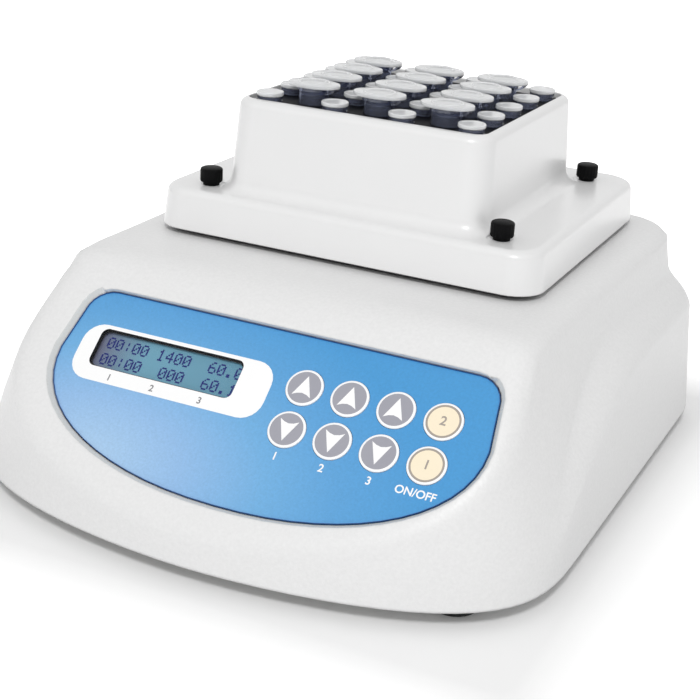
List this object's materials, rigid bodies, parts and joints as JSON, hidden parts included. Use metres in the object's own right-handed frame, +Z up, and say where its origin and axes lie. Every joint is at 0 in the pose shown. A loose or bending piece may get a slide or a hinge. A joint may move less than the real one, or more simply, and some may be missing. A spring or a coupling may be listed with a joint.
{
  "type": "thermal mixer",
  "caption": "Bench thermal mixer: a heated tube block on an orbiting platform above a moulded housing with a sloping keypad and display.",
  "frame": {"origin": "on the floor under the feet, at the middle of the footprint", "axes": "+Z up, +Y towards the rear wall, +X to the right as seen by the user in front"},
  "size_m": [0.205, 0.23, 0.1294],
  "materials": {
    "housing": "matte",
    "base": "satin",
    "rubber": "matte",
    "steel": "satin",
    "overlay": "satin",
    "backing": "matte",
    "window": "gloss",
    "display": "matte",
    "board": "satin",
    "brass": "satin",
    "key_grey": "matte",
    "key_cream": "matte",
    "black": "satin",
    "red": "gloss",
    "aluminium": "satin",
    "cast": "satin",
    "copper": "satin",
    "platform": "satin",
    "pad": "matte",
    "heater": "satin",
    "black_metal": "anodised",
    "connector": "matte",
    "cover": "matte",
    "tube": "satin"
  },
  "bodies": {
    "base": {"housing": "housing", "base_plate": "base", "rubber_feet": "rubber", "base_screws": "steel", "keypad_overlay": "overlay", "keypad_backing": "backing", "display_window": "window", "display_module": "display", "control_board": "board", "board_standoffs": "brass", "switch_frame": "black", "power_inlet": "black", "chassis_posts": "steel", "drive_chassis": "aluminium", "chassis_bushes": "brass", "motor_housing": "cast", "motor_stator": "copper", "motor_bearings": "steel"},
    "drive": {"motor_rotor": "steel", "eccentric_hub": "steel", "counterweight": "cast", "eccentric_inner_ring": "steel"},
    "platform": {"platform": "platform", "platform_bushes": "brass", "eccentric_outer_ring": "steel"},
    "support_crank_1": {"support_crank_1": "steel"},
    "support_crank_2": {"support_crank_2": "steel"},
    "support_crank_3": {"support_crank_3": "steel"},
    "block": {"block_tray": "aluminium", "insulation_pad": "pad", "heater_plate": "heater", "thermoblock": "black_metal", "temperature_sensor": "brass", "block_connector": "connector", "block_cover": "cover", "cover_screws": "steel"},
    "power_rocker": {"power_rocker": "red"},
    "key_time_up": {"key_time_up": "key_grey"},
    "key_speed_up": {"key_speed_up": "key_grey"},
    "key_heat_up": {"key_heat_up": "key_grey"},
    "key_time_down": {"key_time_down": "key_grey"},
    "key_speed_down": {"key_speed_down": "key_grey"},
    "key_heat_down": {"key_heat_down": "key_grey"},
    "key_run_speed": {"key_run_speed": "key_cream"},
    "key_run_time": {"key_run_time": "key_cream"},
    "thumb_screw_1": {"thumb_screw_1": "black"},
    "thumb_screw_2": {"thumb_screw_2": "black"},
    "thumb_screw_3": {"thumb_screw_3": "black"},
    "thumb_screw_4": {"thumb_screw_4": "black"},
    "large_tubes_1": {"large_tubes_1": "tube"},
    "large_tubes_2": {"large_tubes_2": "tube"},
    "large_tubes_3": {"large_tubes_3": "tube"},
    "large_tubes_4": {"large_tubes_4": "tube"},
    "small_tubes_1": {"small_tubes_1": "tube"},
    "small_tubes_2": {"small_tubes_2": "tube"},
    "small_tubes_3": {"small_tubes_3": "tube"},
    "small_tubes_4": {"small_tubes_4": "tube"},
    "small_tubes_5": {"small_tubes_5": "tube"}
  },
  "joints": [
    {"name": "drive_spin", "type": "hinge", "parent": "base", "child": "drive", "pos_m": [0, 0.0355, 0.05], "axis": [0, 0, 1], "continuous": true},
    {"name": "platform_orbit", "type": "hinge", "parent": "drive", "child": "platform", "pos_m": [0, 0.0365, 0.06], "axis": [0, 0, 1], "continuous": true},
    {"name": "crank_1_spin", "type": "hinge", "parent": "base", "child": "support_crank_1", "pos_m": [-0.038, 0.0635, 0.046], "axis": [0, 0, 1], "continuous": true},
    {"name": "crank_2_spin", "type": "hinge", "parent": "base", "child": "support_crank_2", "pos_m": [0.038, 0.0635, 0.046], "axis": [0, 0, 1], "continuous": true},
    {"name": "crank_3_spin", "type": "hinge", "parent": "base", "child": "support_crank_3", "pos_m": [0, -0.0005, 0.046], "axis": [0, 0, 1], "continuous": true},
    {"name": "block_lift", "type": "slide", "parent": "platform", "child": "block", "axis": [0, 0, 1], "range_m": [0, 0.05]},
    {"name": "thumb_screw_1_turn", "type": "hinge", "parent": "block", "child": "thumb_screw_1", "pos_m": [-0.0546, -0.0082, 0.094], "axis": [0, 0, 1], "continuous": true},
    {"name": "thumb_screw_2_turn", "type": "hinge", "parent": "block", "child": "thumb_screw_2", "pos_m": [0.0546, -0.0082, 0.094], "axis": [0, 0, 1], "continuous": true},
    {"name": "thumb_screw_3_turn", "type": "hinge", "parent": "block", "child": "thumb_screw_3", "pos_m": [-0.0546, 0.0832, 0.094], "axis": [0, 0, 1], "continuous": true},
    {"name": "thumb_screw_4_turn", "type": "hinge", "parent": "block", "child": "thumb_screw_4", "pos_m": [0.0546, 0.0832, 0.094], "axis": [0, 0, 1], "continuous": true},
    {"name": "large_tubes_1_lift", "type": "slide", "parent": "block", "child": "large_tubes_1", "axis": [0, 0, 1], "range_m": [0, 0.04]},
    {"name": "large_tubes_2_lift", "type": "slide", "parent": "block", "child": "large_tubes_2", "axis": [0, 0, 1], "range_m": [0, 0.04]},
    {"name": "large_tubes_3_lift", "type": "slide", "parent": "block", "child": "large_tubes_3", "axis": [0, 0, 1], "range_m": [0, 0.04]},
    {"name": "large_tubes_4_lift", "type": "slide", "parent": "block", "child": "large_tubes_4", "axis": [0, 0, 1], "range_m": [0, 0.04]},
    {"name": "small_tubes_1_lift", "type": "slide", "parent": "block", "child": "small_tubes_1", "axis": [0, 0, 1], "range_m": [0, 0.04]},
    {"name": "small_tubes_2_lift", "type": "slide", "parent": "block", "child": "small_tubes_2", "axis": [0, 0, 1], "range_m": [0, 0.04]},
    {"name": "small_tubes_3_lift", "type": "slide", "parent": "block", "child": "small_tubes_3", "axis": [0, 0, 1], "range_m": [0, 0.04]},
    {"name": "small_tubes_4_lift", "type": "slide", "parent": "block", "child": "small_tubes_4", "axis": [0, 0, 1], "range_m": [0, 0.04]},
    {"name": "small_tubes_5_lift", "type": "slide", "parent": "block", "child": "small_tubes_5", "axis": [0, 0, 1], "range_m": [0, 0.04]},
    {"name": "key_time_up_press", "type": "slide", "parent": "base", "child": "key_time_up", "axis": [0, 0.6717, -0.7408], "range_m": [0, 0.0004], "stiffness_N_per_m": 1500},
    {"name": "key_speed_up_press", "type": "slide", "parent": "base", "child": "key_speed_up", "axis": [0, 0.6717, -0.7408], "range_m": [0, 0.0004], "stiffness_N_per_m": 1500},
    {"name": "key_heat_up_press", "type": "slide", "parent": "base", "child": "key_heat_up", "axis": [0, 0.6717, -0.7408], "range_m": [0, 0.0004], "stiffness_N_per_m": 1500},
    {"name": "key_time_down_press", "type": "slide", "parent": "base", "child": "key_time_down", "axis": [0, 0.6717, -0.7408], "range_m": [0, 0.0004], "stiffness_N_per_m": 1500},
    {"name": "key_speed_down_press", "type": "slide", "parent": "base", "child": "key_speed_down", "axis": [0, 0.6717, -0.7408], "range_m": [0, 0.0004], "stiffness_N_per_m": 1500},
    {"name": "key_heat_down_press", "type": "slide", "parent": "base", "child": "key_heat_down", "axis": [0, 0.6717, -0.7408], "range_m": [0, 0.0004], "stiffness_N_per_m": 1500},
    {"name": "key_run_speed_press", "type": "slide", "parent": "base", "child": "key_run_speed", "axis": [0, 0.6717, -0.7408], "range_m": [0, 0.0004], "stiffness_N_per_m": 1500},
    {"name": "key_run_time_press", "type": "slide", "parent": "base", "child": "key_run_time", "axis": [0, 0.6717, -0.7408], "range_m": [0, 0.0004], "stiffness_N_per_m": 1500},
    {"name": "power_rocker_tilt", "type": "hinge", "parent": "base", "child": "power_rocker", "pos_m": [-0.062, 0.10872, 0.02783], "axis": [-1, 0, 0], "range_deg": [0, 18]}
  ],
  "couplings": [
    {"joint": "platform_orbit", "follows": "drive_spin", "ratio": -1},
    {"joint": "crank_1_spin", "follows": "drive_spin", "ratio": 1},
    {"joint": "crank_2_spin", "follows": "drive_spin", "ratio": 1},
    {"joint": "crank_3_spin", "follows": "drive_spin", "ratio": 1}
  ]
}
